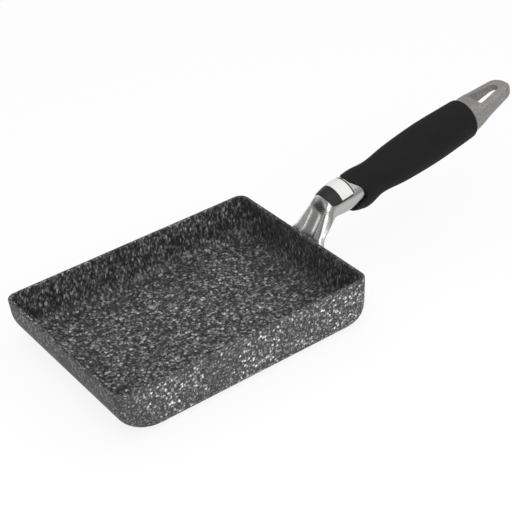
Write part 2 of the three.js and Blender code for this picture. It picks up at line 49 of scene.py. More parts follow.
# Tray, outside and inside
PAN_LENGTH = 186
PAN_WIDTH = 135
PAN_HEIGHT = 34
RIM_CORNER_RADIUS = 7
BASE_CORNER_RADIUS = 13.5
FRONT_DRAFT = math.radians(4)
HANDLE_DRAFT = math.radians(1.5)
SIDE_DRAFT = math.radians(0.5)
FRONT_EDGE_RADIUS = 24
HANDLE_EDGE_RADIUS = 12.5
SIDE_EDGE_RADIUS = 7
WALL_THICKNESS = 2.5
BASE_THICKNESS = 3.5
FLOOR_FRONT_RADIUS = 22
FLOOR_HANDLE_RADIUS = 10
FLOOR_SIDE_RADIUS = 8
FLOOR_CORNER_RADIUS = 12
CORNER_GROWTH = 4
RIM_ROUND = 0.8
RIM_STEPS = 5

# Handle axis: a datum on it, reached from the rim at the handle wall
HANDLE_SLOPE = math.radians(10)
GRIP_REACH = 42.8
GRIP_RISE = 14.9

# Neck: a flat-topped tongue that leaves the wall, turns and rounds into the collar.
# Each list pairs a share of the spine with a size of the section there.
FOOT_DEPTH = 7
FOOT_DROP = 14.4
FOOT_ANGLE = math.radians(44.8)
FOOT_LEAD = 8.3
COLLAR_LIFT = 1.5
COLLAR_START = -22.2
COLLAR_END = 3
COLLAR_LEAD = 8.55
NECK_HALF_WIDTHS = [(0, 18.5), (0.2, 18), (0.37, 17), (0.46, 14.5), (0.6, 13.5),
                    (0.745, 12.5), (0.85, 11.4), (0.92, 10.7), (1, 10.8)]
NECK_TOPS = [(0, 0.7), (0.42, 0.7), (0.58, 1.5), (0.7, 2.6), (0.8, 4.1), (0.9, 7.2),
             (0.95, 8.8), (1, 10.1)]
NECK_UNDERS = [(0, 9.8), (0.2, 9.8), (0.32, 8.6), (0.44, 7.2), (0.56, 5.9), (0.71, 6.3),
               (0.9, 7.7), (1, 8.2)]
NECK_SHOULDER_DROPS = [(0, 1.2), (0.46, 1.5), (0.62, 2.2), (0.75, 2.1), (0.85, 1.5), (0.93, 0.7),
                       (1, 0)]
NECK_SHOULDER_LEANS = [(0, 2), (0.46, 2.3), (0.62, 2.6), (0.8, 3.2), (0.9, 3), (1, 2)]
NECK_ROUNDNESS = [(0, 0), (0.6, 0.03), (0.75, 0.14), (0.85, 0.42), (0.93, 0.85), (1, 1)]
SCOOP_HALF_WIDTHS = [(0, 7.4), (0.44, 7.4), (0.74, 7.2), (0.84, 6.9), (0.9, 6.3), (0.93, 5.4),
                     (0.957, 4), (1, 3.6)]
SCOOP_DEPTHS = [(0, 3.3), (0.46, 3.3), (0.56, 3.3), (0.66, 3.3), (0.72, 3.4), (0.76, 3.3),
                (0.8, 3.05), (0.84, 2.65), (0.88, 2.1), (0.91, 1.5), (0.935, 0.8),
                (0.95, 0.2), (0.957, 0), (1, 0)]
SCOOP_STEP = 0.1
SCOOP_STEP_WIDTH = 0.26
RIDGE_SOFTNESS = 0.2
SHOULDER_FALL = 0.55
SHOULDER_INWARD = 1.3
NECK_CREASE = math.radians(70)
WALL_GAP = 0.05

# Rounding inside the bend: rings averaged each way, and the shares of the spine where it sets in
BEND_EASE = 26
BEND_EASE_START = 0.55
BEND_EASE_FULL = 0.8

# Collar: station from the grip's datum, paired with a size of the section
COLLAR_HALF_WIDTHS = [(-22.2, 10.8), (-17, 11.7), (-12, 12.2), (-5, 12), (3, 11.6)]
COLLAR_TOPS = [(-22.2, 10.1), (-17, 11.1), (-12, 11.7), (-5, 11.4), (3, 10.8)]
COLLAR_UNDERS = [(-22.2, 8.2), (-19, 8.9), (-15, 9.4), (-10, 9.6), (-5, 9.6), (3, 9.4)]

# Steps round the section of neck and collar, and along each of them
FLANK_STEPS = 5
EDGE_STEPS = 6
OUTER_STEPS = 6
SCOOP_STEPS = 14
UNDER_STEPS = 40
NECK_STEPS = 220
COLLAR_STEPS = 130

# Screw under the neck, and the holes for both screws
NECK_SCREW_TILT = math.radians(32)
NECK_SCREW_DROP = 10.9
NECK_SCREW_REACH = 5.2
NECK_SCREW_SEAT = 2.1
NECK_SCREW_ROOM = 9
SCREW_HOLE_RADIUS = 2.8
SCREW_HEAD_HOLE_RADIUS = 4.6

# Grip sleeve, by stations along the axis from the datum
CHIN_FRONT = -7
GRIP_LENGTH = 102.4
BROW_FRONT = -4.7
TONGUE_STATION = 1.9
BROW_ANGLE = math.radians(12)
TONGUE_UPPER_ANGLE = math.radians(68)
TONGUE_LOWER_ANGLE = math.radians(84)
CHIN_ANGLE = math.radians(124)
UNDER_KNOTS = [(-7, 11.4), (-3.5, 13), (4.5, 14.75), (18.5, 12.4), (38.6, 14.4),
               (66, 15.5), (91.6, 14.9), (102.4, 14.4)]
OVER_KNOTS = [(-7, 13.5), (-4, 13.4), (0, 13.1), (6, 13.2), (18.5, 12.4), (38.6, 14.4),
              (66, 15.5), (91.6, 14.9), (102.4, 14.4)]
PROFILE_FULL_SCALE = 20
PROFILE_POINTS = 33
BORE_ROWS = 4
WELD_DISTANCE = 0.002
FRONT_LIP_ROUND = 0.5
GRIP_END_ROUND = 1.8
CORE_BORE = 10.7
COLLAR_GAP = 0.15

# End cap, by stations along the axis from the datum
CAP_START = 102.7
CAP_KNOTS_HALF_WIDTH = [(102.7, 13.4), (109, 12.7), (115.7, 12), (135, 9.5)]
CAP_KNOTS_TOP = [(102.7, 13.4), (109, 10.7), (115.7, 9.3), (135, 9)]
CAP_KNOTS_UNDER = [(102.7, -13.4), (109, -7.8), (115.7, -4), (135, 0)]
CAP_HEEL = 115.7
CAP_TOE = 135
CAP_TOE_HALF_WIDTH = 9.5
CAP_TOP = 9
CAP_UNDER_SLOPE = 4 / 19.3
CAP_TOE_UNDER = 0
CAP_NOSE_LENGTH = 8.8
CAP_NOSE_ROUND = 2.4
CAP_SQUARENESS = 4.6
SPIGOT_RADIUS = 6
SPIGOT_LENGTH = 10
TIE_SEAT = 107.3
SLOT_START = 113.1
SLOT_END = 135
SLOT_HALF_WIDTH = 6.9
SLOT_CORNER_RADIUS = 1.2
SLOT_TIP_RADIUS = 3.5
SLOT_LIP_HEEL = -2.1
SLOT_LIP_TOE = 4.9
SLOT_FLARE = 7
CUT_OVERLAP = 2
CUT_REACH = 20
CAP_VOXEL = 0.24
CAP_SOFTEN_FACTOR = 0.5
CAP_SOFTEN_PASSES = 3
CAP_CREASE = math.radians(60)

# Label on the collar
LABEL_START = -23.3
LABEL_END = -5.7
LABEL_HALF_ANGLE = math.radians(66)
LABEL_THICKNESS = 0.2
LABEL_LIFT = 0.05
LABEL_CORNER = 2.4
LABEL_RADIUS = 11.5


# Numbers

def lerp(low, high, share):
    return low + (high - low) * share


def smoothstep(value, low, high):
    share = min(max((value - low) / (high - low), 0), 1)
    return share * share * (3 - 2 * share)


def smooth_curve(knots):
    """Cubic curve through (station, value) knots, with slopes from their neighbours."""
    xs = [x for x, _ in knots]
    ys = [y for _, y in knots]
    last = len(knots) - 1
    slopes = []
    for i in range(len(knots)):
        before, after = max(i - 1, 0), min(i + 1, last)
        slopes.append((ys[after] - ys[before]) / (xs[after] - xs[before]))

    def value(x):
        i = 0
        while i < last - 1 and x > xs[i + 1]:
            i += 1
        span = xs[i + 1] - xs[i]
        t = min(max((x - xs[i]) / span, 0), 1)
        rise = (1 + 2 * t) * (1 - t) ** 2 * ys[i] + t * t * (3 - 2 * t) * ys[i + 1]
        return rise + span * (t * (1 - t) ** 2 * slopes[i] - t * t * (1 - t) * slopes[i + 1])

    return value


def super_point(half_width, half_height, squareness, angle):
    """Point of an oval that gets squarer from 2 upwards."""
    power = 2 / squareness
    side, up = math.cos(angle), math.sin(angle)
    return (half_width * math.copysign(abs(side) ** power, side),
            half_height * math.copysign(abs(up) ** power, up))


HANDLE_DATUM = Vector((PAN_LENGTH / 2 + GRIP_REACH, 0, PAN_HEIGHT + GRIP_RISE))
HANDLE_FRAME = Matrix.Translation(HANDLE_DATUM) @ Matrix.Rotation(-HANDLE_SLOPE, 4, "Y")
MM_TO_M = Matrix.Scale(MM, 4)


# Meshes

def ring_mesh(rings):
    """Mesh through rings of points, with a flat face on the first and the last."""
    count = len(rings[0])
    points = [point for ring in rings for point in ring]
    faces = []
    for row in range(len(rings) - 1):
        for i in range(count):
            j = (i + 1) % count
            low, high = row * count, (row + 1) * count
            faces.append((low + i, low + j, high + j, high + i))
    faces.append(tuple(reversed(range(count))))
    faces.append(tuple(range(len(points) - count, len(points))))
    mesh = bpy.data.meshes.new("rings")
    mesh.from_pydata(points, [], faces)
    mesh.update()
    return mesh


def angles(count):
    return [2 * math.pi * i / count for i in range(count)]


def rod_mesh(start, end, radius, matrix, count=64):
    """Round bar along the matrix's X axis."""
    rings = []
    for station in (start, end):
        rings.append([matrix @ Vector((station, radius * math.cos(a), radius * math.sin(a)))
                      for a in angles(count)])
    return ring_mesh(rings)


def face_outwards(mesh):
    shell = bmesh.new()
    shell.from_mesh(mesh)
    bmesh.ops.recalc_face_normals(shell, faces=shell.faces[:])
    shell.to_mesh(mesh)
    shell.free()


def add_object(name, mesh):
    mesh.name = name
    made = bpy.data.objects.new(name, mesh)
    bpy.context.scene.collection.objects.link(made)
    return made


def applied(made):
    """Plain mesh of an object with its modifiers applied; the modifiers go."""
    graph = bpy.context.evaluated_depsgraph_get()
    mesh = bpy.data.meshes.new_from_object(made.evaluated_get(graph))
    made.modifiers.clear()
    made.data = mesh
    return mesh


def combine(mesh, other, operation):
    """One mesh cut by or joined to another."""
    body = add_object("body", mesh)
    tool = add_object("tool", other)
    step = body.modifiers.new("combine", "BOOLEAN")
    step.operation = operation
    step.solver = "EXACT"
    step.object = tool
    result = applied(body)
    bpy.data.objects.remove(body)
    bpy.data.objects.remove(tool)
    return result


def finish_piece(name, mesh, node, materials, crease=math.radians(40)):
    """Turns a mesh in millimetres into a shown piece that stands for a node."""
    mesh.transform(MM_TO_M)
    mesh.shade_smooth()
    mesh.set_sharp_from_angle(angle=crease)
    for material in materials[len(mesh.materials):]:
        mesh.materials.append(material)
    made = add_object(name, mesh)
    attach(made, "root")
    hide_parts(node)
    return made


# Shader building

class Nodes:
    """Adds and links the nodes of one shader tree."""

    def __init__(self, tree):
        self.tree = tree

    def add(self, kind, inputs=None, **settings):
        node = self.tree.nodes.new(kind)
        for name, value in settings.items():
            setattr(node, name, value)
        for name, value in (inputs or {}).items():
            self.put(node.inputs[name], value)
        return node

    def put(self, socket, value):
        if isinstance(value, bpy.types.NodeSocket):
            self.tree.links.new(value, socket)
        else:
            socket.default_value = value

    def math(self, operation, *values, kind="ShaderNodeMath"):
        node = self.tree.nodes.new(kind)
        node.operation = operation
        for socket, value in zip(node.inputs, values):
            self.put(socket, value)
        return node.outputs[0]

    def vector_math(self, operation, *values):
        return self.math(operation, *values, kind="ShaderNodeVectorMath")

    def scale_vector(self, vector, factor):
        node = self.tree.nodes.new("ShaderNodeVectorMath")
        node.operation = "SCALE"
        self.put(node.inputs["Vector"], vector)
        self.put(node.inputs["Scale"], factor)
        return node.outputs[0]

    def mix(self, share, low, high):
        node = self.tree.nodes.new("ShaderNodeMix")
        node.data_type = "RGBA"
        self.put(node.inputs["Factor"], share)
        self.put(node.inputs[6], low)
        self.put(node.inputs[7], high)
        return node.outputs[2]

    def ramp(self, value, low, high, to_low=0.0, to_high=1.0, kind="LINEAR"):
        node = self.tree.nodes.new("ShaderNodeMapRange")
        node.interpolation_type = kind
        for name, setting in (("Value", value), ("From Min", low), ("From Max", high),
                              ("To Min", to_low), ("To Max", to_high)):
            self.put(node.inputs[name], setting)
        return node.outputs[0]

    def noise(self, vector, scale, detail):
        return self.add("ShaderNodeTexNoise", {
            "Vector": vector, "Scale": scale, "Detail": detail})


def grey(value):
    return (value, value, value, 1)


def new_group(name, inputs, outputs):
    """Empty shader group with named sockets; returns its nodes, inputs and output node."""
    tree = bpy.data.node_groups.new(name, "ShaderNodeTree")
    for title, kind, default in inputs:
        socket = tree.interface.new_socket(name=title, in_out="INPUT", socket_type=kind)
        if default is not None:
            socket.default_value = default
    for title, kind in outputs:
        tree.interface.new_socket(name=title, in_out="OUTPUT", socket_type=kind)
    nodes = Nodes(tree)
    entry = nodes.add("NodeGroupInput")
    exit_node = nodes.add("NodeGroupOutput")
    return tree, nodes, entry.outputs, exit_node


# Flecks: how finely and how far their outline wanders, and where a disc ends and is full
RAGGED_SCALE = 2.3
RAGGED_REACH = 0.9
DISC_END = 0.66
DISC_FULL = 0.4


def fleck_group():
    """Ragged dots scattered in space: how strong each is, and how pale."""
    tree, n, given, out = new_group(
        "coating_flecks",
        [("Vector", "NodeSocketVector", None), ("Fleck Size", "NodeSocketFloat", 0.002),
         ("Upright Stretch", "NodeSocketFloat", 1.0), ("Threshold", "NodeSocketFloat", 0.3),
         ("Softness", "NodeSocketFloat", 0.6)],
        [("Flecks", "NodeSocketFloat"), ("Paleness", "NodeSocketFloat")])
    upright = n.add("ShaderNodeCombineXYZ", {"X": 1.0, "Y": 1.0, "Z": given["Upright Stretch"]})
    squeezed = n.vector_math("MULTIPLY", given["Vector"], upright.outputs[0])
    cells = n.scale_vector(squeezed, n.math("DIVIDE", 1.0, given["Fleck Size"]))
    wander = n.noise(cells, RAGGED_SCALE, 1.0).outputs["Color"]
    ragged = n.vector_math("SUBTRACT", wander, (0.5, 0.5, 0.5))
    cells = n.vector_math("ADD", cells, n.scale_vector(ragged, RAGGED_REACH))
    dots = n.add("ShaderNodeTexVoronoi", {"Vector": cells, "Scale": 1.0}).outputs
    chance = n.add("ShaderNodeSeparateColor", {"Color": dots["Color"]}).outputs
    disc = n.ramp(dots["Distance"], DISC_END, DISC_FULL, 0.0, 1.0, "SMOOTHSTEP")
    top = n.math("ADD", given["Threshold"], given["Softness"])
    strength = n.ramp(chance["Red"], given["Threshold"], top)
    n.put(out.inputs["Flecks"], n.math("MULTIPLY", disc, strength))
    n.put(out.inputs["Paleness"], chance["Green"])
    return tree


def grain_group():
    """Fine surface grain for bump and a slow drift for tone and gloss."""
    tree, n, given, out = new_group(
        "surface_grain",
        [("Vector", "NodeSocketVector", None), ("Grain Size", "NodeSocketFloat", 0.0004),
         ("Drift Size", "NodeSocketFloat", 0.03)],
        [("Grain", "NodeSocketFloat"), ("Drift", "NodeSocketFloat")])
    grain = n.noise(given["Vector"], n.math("DIVIDE", 1.0, given["Grain Size"]), 3.0)
    drift = n.noise(given["Vector"], n.math("DIVIDE", 1.0, given["Drift Size"]), 3.0)
    n.put(out.inputs["Grain"], grain.outputs["Fac"])
    n.put(out.inputs["Drift"], drift.outputs["Fac"])
    return tree


FLECKS = fleck_group()
GRAIN = grain_group()


class Finish(Nodes):
    """One material with a Principled shader."""

    def __init__(self, name):
        self.material = bpy.data.materials.new(name)
        self.material.use_nodes = True
        super().__init__(self.material.node_tree)
        self.tree.nodes.clear()
        self.shader = self.add("ShaderNodeBsdfPrincipled")
        output = self.add("ShaderNodeOutputMaterial")
        self.tree.links.new(self.shader.outputs[0], output.inputs["Surface"])
        self.place = self.add("ShaderNodeTexCoord").outputs["Object"]

    def set(self, **inputs):
        for name, value in inputs.items():
            self.put(self.shader.inputs[name.replace("_", " ")], value)

    def group(self, tree, **inputs):
        node = self.add("ShaderNodeGroup", node_tree=tree)
        for name, value in inputs.items():
            self.put(node.inputs[name.replace("_", " ")], value)
        return node.outputs

    def bump(self, height, distance):
        node = self.add("ShaderNodeBump", {
            "Height": height, "Distance": distance, "Strength": 1.0})
        self.put(self.shader.inputs["Normal"], node.outputs[0])


def inside_coating():
    """Dark ground under a close mosaic of flecks; fewer on the walls, as thin streaks. Flecks also
    thin out towards the handle wall and the far wall, which is painted shade from those walls.
    """
    f = Finish("coating_inside")
    axes = f.add("ShaderNodeSeparateXYZ", {"Vector": f.place}).outputs
    large = f.group(FLECKS, Vector=f.place, Fleck_Size=0.002, Upright_Stretch=0.5,
                    Threshold=0.35, Softness=0.65)
    small = f.group(FLECKS, Vector=f.place, Fleck_Size=0.0013, Upright_Stretch=0.6,
                    Threshold=0.25, Softness=0.75)
    streak = f.group(FLECKS, Vector=f.place, Fleck_Size=0.0012, Upright_Stretch=0.38,
                     Threshold=0.6, Softness=0.35)
    grain = f.group(GRAIN, Vector=f.place, Grain_Size=0.0006, Drift_Size=0.05)
    wall = f.ramp(axes["Z"], 0.0042, 0.0085)
    # Painted shade: flecks thin out towards the handle wall and the far wall, darkening the floor
    # beside them and the handle wall itself
    handle_wall_shade = f.ramp(axes["X"], 0.055, 0.089, 1.0, 0.54)
    thin = f.math("MINIMUM", handle_wall_shade, f.ramp(axes["Y"], 0.03, 0.052, 1.0, 0.8))
    spread = f.math("MULTIPLY", f.ramp(wall, 0.0, 1.0, 1.0, 0.3), thin)
    upper = f.math("MULTIPLY", f.ramp(axes["Z"], 0.006, 0.018, 0.3, 1.0), wall)
    ground = f.mix(grain["Drift"], grey(0.02), grey(0.03))
    pale = f.mix(large["Paleness"], grey(0.08), grey(0.62))
    faint = f.mix(small["Paleness"], grey(0.045), grey(0.3))
    bright = f.mix(streak["Paleness"], grey(0.1), grey(0.6))
    colour = f.mix(f.math("MULTIPLY", small["Flecks"], thin), ground, faint)
    colour = f.mix(f.math("MULTIPLY", large["Flecks"], spread), colour, pale)
    # Painted shade: fewer streaks on the handle wall, darkening it
    streaks = f.math("MULTIPLY", f.math("MULTIPLY", streak["Flecks"], upper), handle_wall_shade)
    colour = f.mix(streaks, colour, bright)
    gloss = f.ramp(large["Flecks"], 0.0, 1.0, 0.5, 0.62)
    f.set(Base_Color=colour, Roughness=gloss, Specular_IOR_Level=0.15)
    height = f.math("ADD", f.math("MULTIPLY", grain["Grain"], 0.5), large["Flecks"])
    f.bump(height, 0.00004)
    return f.material


def outside_coating():
    """Paler, finely mottled ground; bright flecks crowd together towards the handle. Fewer flecks
    on the front end wall are painted shade there.
    """
    f = Finish("coating_outside")
    axes = f.add("ShaderNodeSeparateXYZ", {"Vector": f.place})
    grain = f.group(GRAIN, Vector=f.place, Grain_Size=0.0005, Drift_Size=0.02)
    patch = f.math("MULTIPLY", f.math("SUBTRACT", grain["Drift"], 0.5), 0.8)
    # Painted shade: bright flecks thin out on the front end wall, darkening it
    front = f.ramp(axes.outputs["X"], -0.092, -0.07, 0.38, 0.0)
    crowd = f.math("ADD", front, f.ramp(axes.outputs["X"], -0.07, 0.08, 0.73, 0.62))
    bright = f.group(FLECKS, Vector=f.place, Fleck_Size=0.0016, Upright_Stretch=1.0,
                     Threshold=f.math("SUBTRACT", crowd, patch), Softness=0.3)
    small = f.group(FLECKS, Vector=f.place, Fleck_Size=0.0013, Upright_Stretch=1.0,
                    Threshold=0.2, Softness=0.8)
    rim = f.ramp(axes.outputs["Z"], 0.0326, 0.0335, 1.0, 0.35)
    ground = f.mix(grain["Drift"], grey(0.053), grey(0.075))
    pale = f.mix(bright["Paleness"], grey(0.3), grey(1.0))
    faint = f.mix(small["Paleness"], grey(0.09), grey(0.5))
    # Painted shade: small flecks thin out on the front end wall too
    thin = f.ramp(axes.outputs["X"], -0.0925, -0.084, 0.8, 1.0)
    colour = f.mix(f.math("MULTIPLY", small["Flecks"], thin), ground, faint)
    colour = f.mix(f.math("MULTIPLY", bright["Flecks"], rim), colour, pale)
    gloss = f.ramp(bright["Flecks"], 0.0, 1.0, 0.5, 0.62)
    f.set(Base_Color=colour, Roughness=gloss, Specular_IOR_Level=0.08)
    height = f.math("ADD", f.math("MULTIPLY", grain["Grain"], 0.5), bright["Flecks"])
    f.bump(height, 0.00004)
    return f.material


def polished_metal():
    f = Finish("polished_metal")
    grain = f.group(GRAIN, Vector=f.place, Grain_Size=0.0005, Drift_Size=0.03)
    colour = f.mix(grain["Drift"], (0.45, 0.45, 0.445, 1), (0.5, 0.5, 0.495, 1))
    gloss = f.ramp(grain["Drift"], 0.3, 0.7, 0.22, 0.28)
    f.set(Base_Color=colour, Roughness=gloss, Metallic=1.0)
    f.bump(grain["Grain"], 0.0000015)
    return f.material


def satin_metal():
    f = Finish("satin_metal")
    grain = f.group(GRAIN, Vector=f.place, Grain_Size=0.0009, Drift_Size=0.015)
    speck = f.ramp(grain["Grain"], 0.35, 0.65)
    colour = f.mix(speck, (0.175, 0.171, 0.162, 1), (0.33, 0.323, 0.307, 1))
    gloss = f.ramp(grain["Drift"], 0.3, 0.7, 0.42, 0.52)
    f.set(Base_Color=colour, Roughness=gloss, Metallic=0.35)
    f.bump(grain["Grain"], 0.00002)
    return f.material


def soft_black():
    f = Finish("soft_black")
    grain = f.group(GRAIN, Vector=f.place, Grain_Size=0.0004, Drift_Size=0.02)
    colour = f.mix(grain["Drift"], grey(0.008), grey(0.0115))
    gloss = f.ramp(grain["Grain"], 0.3, 0.7, 0.62, 0.8)
    f.set(Base_Color=colour, Roughness=gloss, Specular_IOR_Level=0.15)
    f.bump(grain["Grain"], 0.00005)
    return f.material


def hard_black():
    f = Finish("hard_black")
    grain = f.group(GRAIN, Vector=f.place, Grain_Size=0.0008, Drift_Size=0.02)
    f.set(Base_Color=f.mix(grain["Drift"], grey(0.009), grey(0.013)), Roughness=0.5)
    f.bump(grain["Grain"], 0.00003)
    return f.material


def plated_steel():
    f = Finish("plated_steel")
    grain = f.group(GRAIN, Vector=f.place, Grain_Size=0.0003, Drift_Size=0.004)
    colour = f.mix(grain["Drift"], (0.42, 0.43, 0.45, 1), (0.55, 0.55, 0.56, 1))
    f.set(Base_Color=colour, Roughness=f.ramp(grain["Drift"], 0.3, 0.7, 0.28, 0.42), Metallic=1.0)
    f.bump(grain["Grain"], 0.00001)
    return f.material


def bare_aluminium():
    f = Finish("bare_aluminium")
    grain = f.group(GRAIN, Vector=f.place, Grain_Size=0.0006, Drift_Size=0.01)
    colour = f.mix(grain["Drift"], grey(0.45), grey(0.55))
    f.set(Base_Color=colour, Roughness=f.ramp(grain["Grain"], 0.3, 0.7, 0.45, 0.6), Metallic=1.0)
    f.bump(grain["Grain"], 0.00004)
    return f.material


def label_print():
    """Black field towards the pan, pale panel towards the grip, thin dark margin."""
    f = Finish("label_foil")
    strip = f.add("ShaderNodeUVMap", uv_map="strip").outputs[0]
    axes = f.add("ShaderNodeSeparateXYZ", {"Vector": strip})
    along, across = axes.outputs["X"], axes.outputs["Y"]
    grain = f.group(GRAIN, Vector=f.place, Grain_Size=0.0003, Drift_Size=0.006)
    drift = f.math("MULTIPLY", f.math("SUBTRACT", grain["Drift"], 0.5), 0.01)
    edge = f.math("ADD", along, drift)
    begins = f.ramp(edge, 0.41, 0.425)
    ends = f.ramp(edge, 0.955, 0.94)
    near = f.ramp(across, 0.03, 0.045)
    far = f.ramp(across, 0.985, 0.97)
    panel = f.math("MULTIPLY", f.math("MULTIPLY", begins, ends), f.math("MULTIPLY", near, far))
    black = f.mix(grain["Drift"], grey(0.014), grey(0.024))
    white = f.mix(grain["Drift"], (0.72, 0.715, 0.70, 1), (0.80, 0.795, 0.78, 1))
    f.set(Base_Color=f.mix(panel, black, white), Roughness=f.ramp(panel, 0.0, 1.0, 0.42, 0.5),
          Specular_IOR_Level=0.2)
    f.bump(grain["Grain"], 0.000008)
    return f.material


# Tray

def edge_inset(depth, full_depth, radius):
    below = max(depth - (full_depth - radius), 0)
    return radius - math.sqrt(max(radius ** 2 - below ** 2, 0))


OUTSIDE = dict(inset=0, depth=PAN_HEIGHT, front=FRONT_EDGE_RADIUS, handle=HANDLE_EDGE_RADIUS,
               side=SIDE_EDGE_RADIUS, rim_corner=RIM_CORNER_RADIUS, low_corner=BASE_CORNER_RADIUS)
INSIDE = dict(inset=WALL_THICKNESS, depth=PAN_HEIGHT - BASE_THICKNESS, front=FLOOR_FRONT_RADIUS,
              handle=FLOOR_HANDLE_RADIUS, side=FLOOR_SIDE_RADIUS,
              rim_corner=RIM_CORNER_RADIUS - WALL_THICKNESS, low_corner=FLOOR_CORNER_RADIUS)


def tray_outline(depth, form, shift=0.0, steps=14):
    """One level of the tray, shifted inwards from the form's own wall."""
    def inset(draft, radius):
        wall = form["inset"] + shift + depth * math.tan(draft)
        return wall + edge_inset(depth, form["depth"], radius)

    front = inset(FRONT_DRAFT, form["front"])
    handle = inset(HANDLE_DRAFT, form["handle"])
    side = inset(SIDE_DRAFT, form["side"])
    growth = (depth / form["depth"]) ** CORNER_GROWTH
    corner = lerp(form["rim_corner"], form["low_corner"], growth) - shift
    low_x, high_x = front - PAN_LENGTH / 2, PAN_LENGTH / 2 - handle
    half = PAN_WIDTH / 2 - side
    centres = [(high_x - corner, half - corner), (low_x + corner, half - corner),
               (low_x + corner, corner - half), (high_x - corner, corner - half)]
    points = []
    for quarter, (x, y) in enumerate(centres):
        for step in range(steps + 1):
            turn = (quarter + step / steps) * math.pi / 2
            points.append(Vector((x + corner * math.cos(turn), y + corner * math.sin(turn),
                                  PAN_HEIGHT - depth)))
    return points


def tray_levels(form, steps=22):
    """Depths from the foot of the round edges up to just below the rim."""
    levels = []
    for step in range(steps, -1, -1):
        turn = step / steps * math.pi / 2
        levels.append(form["depth"] - form["front"] * (1 - math.sin(turn)))
    return levels + [RIM_ROUND]


def make_tray():
    outer = [tray_outline(depth, OUTSIDE) for depth in tray_levels(OUTSIDE)]
    inner = [tray_outline(depth, INSIDE) for depth in reversed(tray_levels(INSIDE))]
    rim = []
    for step in range(1, RIM_STEPS + 1):
        turn = step / RIM_STEPS * math.pi / 2
        rim.append((OUTSIDE, RIM_ROUND * (1 - math.sin(turn)), RIM_ROUND * (1 - math.cos(turn))))
    for step in range(RIM_STEPS):
        turn = step / RIM_STEPS * math.pi / 2
        rim.append((INSIDE, RIM_ROUND * (1 - math.cos(turn)), RIM_ROUND * (math.sin(turn) - 1)))
    crown = [tray_outline(depth, form, shift) for form, depth, shift in rim]
    mesh = ring_mesh(outer + crown + inner)
    count = len(outer[0])
    first_inside = (len(outer) + len(crown) // 2 - 1) * count
    sides = (len(outer) + len(crown) + len(inner) - 1) * count
    for polygon in mesh.polygons:
        inside = first_inside <= polygon.index < sides or polygon.index == sides + 1
        polygon.material_index = 1 if inside else 0
    return finish_piece("tray", mesh, "pan_body",
                        [outside_coating(), inside_coating()])


# Neck

def wall_x(height):
    depth = PAN_HEIGHT - height
    return PAN_LENGTH / 2 - depth * math.tan(HANDLE_DRAFT) - edge_inset(
        depth, PAN_HEIGHT, HANDLE_EDGE_RADIUS)


def neck_spine(share):
    """Point and heading of the neck's spine in the XZ plane."""
    foot = Vector((PAN_LENGTH / 2 - FOOT_DEPTH, PAN_HEIGHT - FOOT_DROP))
    collar3 = HANDLE_FRAME @ Vector((COLLAR_START, 0, COLLAR_LIFT))
    collar = Vector((collar3.x, collar3.z))
    a = foot
    b = foot + FOOT_LEAD * Vector((math.cos(FOOT_ANGLE), math.sin(FOOT_ANGLE)))
    c = collar - COLLAR_LEAD * Vector((math.cos(HANDLE_SLOPE), math.sin(HANDLE_SLOPE)))
    d = collar
    t, u = share, 1 - share
    point = u ** 3 * a + 3 * t * u * u * b + 3 * t * t * u * c + t ** 3 * d
    heading = 3 * u * u * (b - a) + 6 * t * u * (c - b) + 3 * t * t * (d - c)
    return point, heading.normalized()


NECK_SIZES = [smooth_curve(knots) for knots in (
    NECK_HALF_WIDTHS, NECK_TOPS, NECK_UNDERS, NECK_SHOULDER_DROPS, NECK_SHOULDER_LEANS,
    NECK_ROUNDNESS, SCOOP_HALF_WIDTHS, SCOOP_DEPTHS)]
COLLAR_SIZES = [smooth_curve(knots) for knots in (COLLAR_HALF_WIDTHS, COLLAR_TOPS, COLLAR_UNDERS)]


def neck_shoulder(half_width, top, drop, lean, roundness):
    """Outer half of the top, from the widest point inwards: flank, soft edge, flat top."""
    corner = half_width - lean
    flank = Vector((half_width, -drop))
    turn = Vector((corner, top))
    inward = min(SHOULDER_INWARD, corner / 3)
    down = (flank - turn) * SHOULDER_FALL
    points = []
    for step in range(FLANK_STEPS):
        points.append(flank.lerp(turn + down, step / FLANK_STEPS))
    for step in range(EDGE_STEPS + 1):
        t = step / EDGE_STEPS
        bend = (1 - t) ** 2 * (turn + down) + 2 * t * (1 - t) * turn
        points.append(bend + t * t * Vector((corner - inward, top)))
    last = len(points) - 1
    for i, point in enumerate(points):
        angle = i / last * math.acos((corner - inward) / half_width)
        oval = Vector((half_width * math.cos(angle), (top + drop) * math.sin(angle) - drop))
        points[i] = point.lerp(oval, roundness)
    return points


def neck_section(half_width, top, under, drop, lean, roundness, scoop_half, depth):
    """(sideways, up) points: flat top with a scoop between two ridges, round underside."""
    half = neck_shoulder(half_width, top, drop, lean, roundness)
    start = half[-1].x
    outer, inner = scoop_half + RIDGE_SOFTNESS, scoop_half - RIDGE_SOFTNESS
    sides = [lerp(start, outer, step / OUTER_STEPS) for step in range(1, OUTER_STEPS + 1)]
    sides.append(scoop_half)
    sides += [inner * math.cos(step / SCOOP_STEPS * math.pi / 2) for step in range(SCOOP_STEPS)]
    for side in sides + [0]:
        oval = (top + drop) * math.sqrt(1 - (side / half_width) ** 2) - drop
        up = lerp(top, oval, roundness)
        share = 1 - (side / scoop_half) ** 2
        if share > 0:
            up -= depth * lerp(share, smoothstep(share, 0, SCOOP_STEP_WIDTH), SCOOP_STEP)
        half.append(Vector((side, up)))
    section = half + [Vector((-point.x, point.y)) for point in reversed(half[:-1])]
    for step in range(1, UNDER_STEPS):
        turn = step / UNDER_STEPS * math.pi
        section.append(Vector((-half_width * math.cos(turn),
                               (drop - under) * math.sin(turn) - drop)))
    return section


def neck_ring(share):
    point, heading = neck_spine(share)
    section = neck_section(*[size(share) for size in NECK_SIZES])
    return [Vector((point.x - up * heading.y, side, point.y + up * heading.x))
            for side, up in section]


